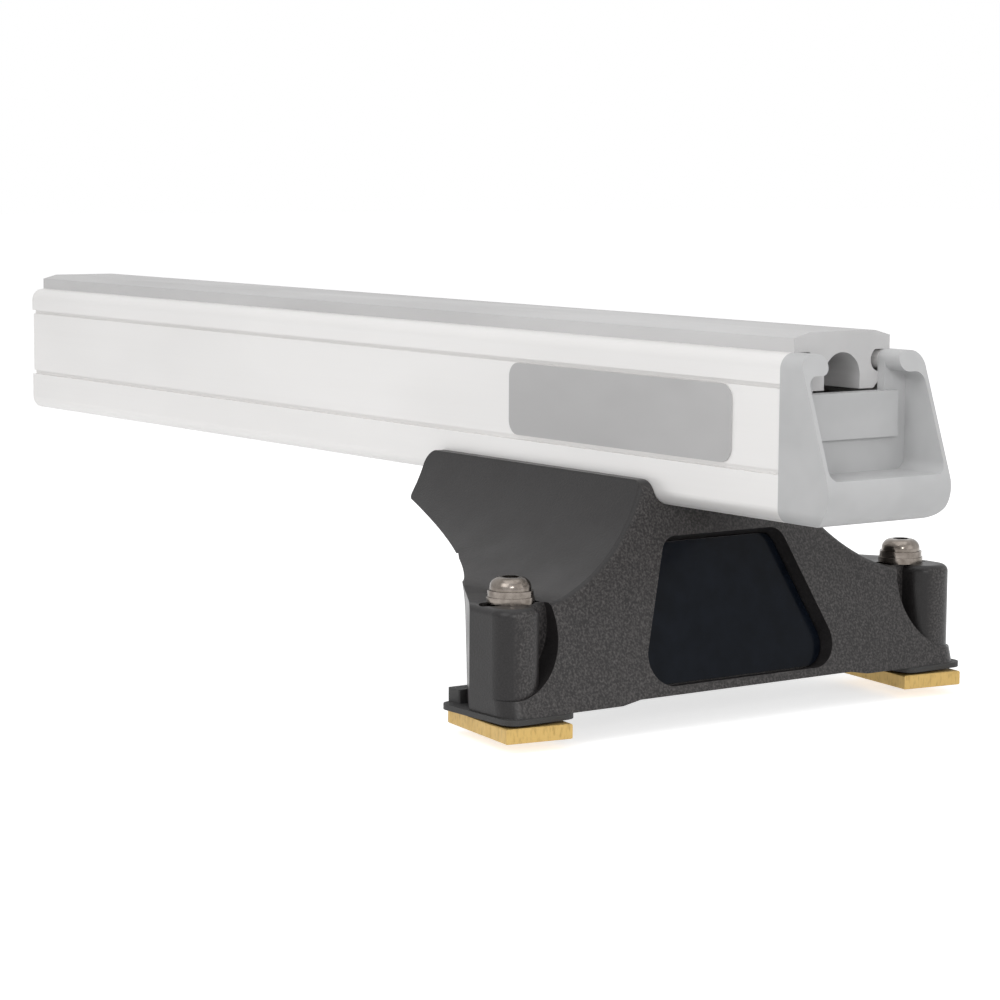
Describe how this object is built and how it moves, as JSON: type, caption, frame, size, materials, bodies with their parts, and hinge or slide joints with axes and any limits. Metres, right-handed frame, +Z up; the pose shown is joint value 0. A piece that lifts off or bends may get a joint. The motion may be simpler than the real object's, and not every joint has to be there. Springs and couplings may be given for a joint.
{
  "type": "roof rack crossbar",
  "caption": "Extruded roof rack crossbar with a rubber top strip and slanted end cap, on a flared moulded leg that clamps to a roof track with screws and channel nuts.",
  "frame": {"origin": "midway between the two track screws, on the underside of the foot pads, where the leg stands on the roof track", "axes": "+X along the bar towards its capped end, +Y along the roof track, +Z up, away from the roof"},
  "size_m": [0.4143, 0.1569, 0.1015],
  "materials": {
    "bar_metal": "satin, pale",
    "strip_rubber": "matte, mid grey",
    "cap_plastic": "satin, mid grey",
    "label_film": "satin film, bare",
    "leg_plastic": "fine grain on the flanks, coarser sparkle grain on the leaning face",
    "badge_gloss": "gloss, near-black blue, bare",
    "pad_rubber": "matte black",
    "stainless": "bright, turned",
    "nut_brass": "plain, sawn faces",
    "zinc_steel": "zinc plated",
    "insert_nylon": "plain"
  },
  "bodies": {
    "leg": {"leg_body": "leg_plastic", "badge_plate": "badge_gloss", "front_foot_pad": "pad_rubber", "rear_foot_pad": "pad_rubber", "front_flat_washer": "stainless", "rear_flat_washer": "stainless", "front_spring_washer": "stainless", "rear_spring_washer": "stainless", "outer_bar_bolt": "zinc_steel", "inner_bar_bolt": "zinc_steel", "outer_plain_washer": "zinc_steel", "inner_plain_washer": "zinc_steel", "outer_lock_nut": "zinc_steel", "inner_lock_nut": "zinc_steel", "outer_lock_insert": "insert_nylon", "inner_lock_insert": "insert_nylon"},
    "beam": {"bar": "bar_metal", "top_strip": "strip_rubber", "end_cap": "cap_plastic", "bar_label": "label_film"},
    "front_screw": {"front_track_screw": "stainless"},
    "rear_screw": {"rear_track_screw": "stainless"},
    "front_nut": {"front_channel_nut": "nut_brass"},
    "rear_nut": {"rear_channel_nut": "nut_brass"}
  },
  "joints": [
    {"name": "bar_slide", "type": "slide", "parent": "leg", "child": "beam", "axis": [1, 0, 0], "range_m": [-0.03, 0.22]},
    {"name": "front_screw_turn", "type": "hinge", "parent": "leg", "child": "front_screw", "pos_m": [0, -0.067, 0.0314], "axis": [0, 0, -1], "range_deg": [-725, 132]},
    {"name": "rear_screw_turn", "type": "hinge", "parent": "leg", "child": "rear_screw", "pos_m": [0, 0.067, 0.0314], "axis": [0, 0, -1], "range_deg": [-725, 132]},
    {"name": "front_nut_travel", "type": "slide", "parent": "leg", "child": "front_nut", "axis": [0, 0, 1], "range_m": [-0.002, 0.00036]},
    {"name": "rear_nut_travel", "type": "slide", "parent": "leg", "child": "rear_nut", "axis": [0, 0, 1], "range_m": [-0.002, 0.00036]}
  ],
  "couplings": [
    {"joint": "front_screw_turn", "follows": "front_nut_travel", "rad_per_m": 6283.2},
    {"joint": "rear_screw_turn", "follows": "rear_nut_travel", "rad_per_m": 6283.2}
  ]
}
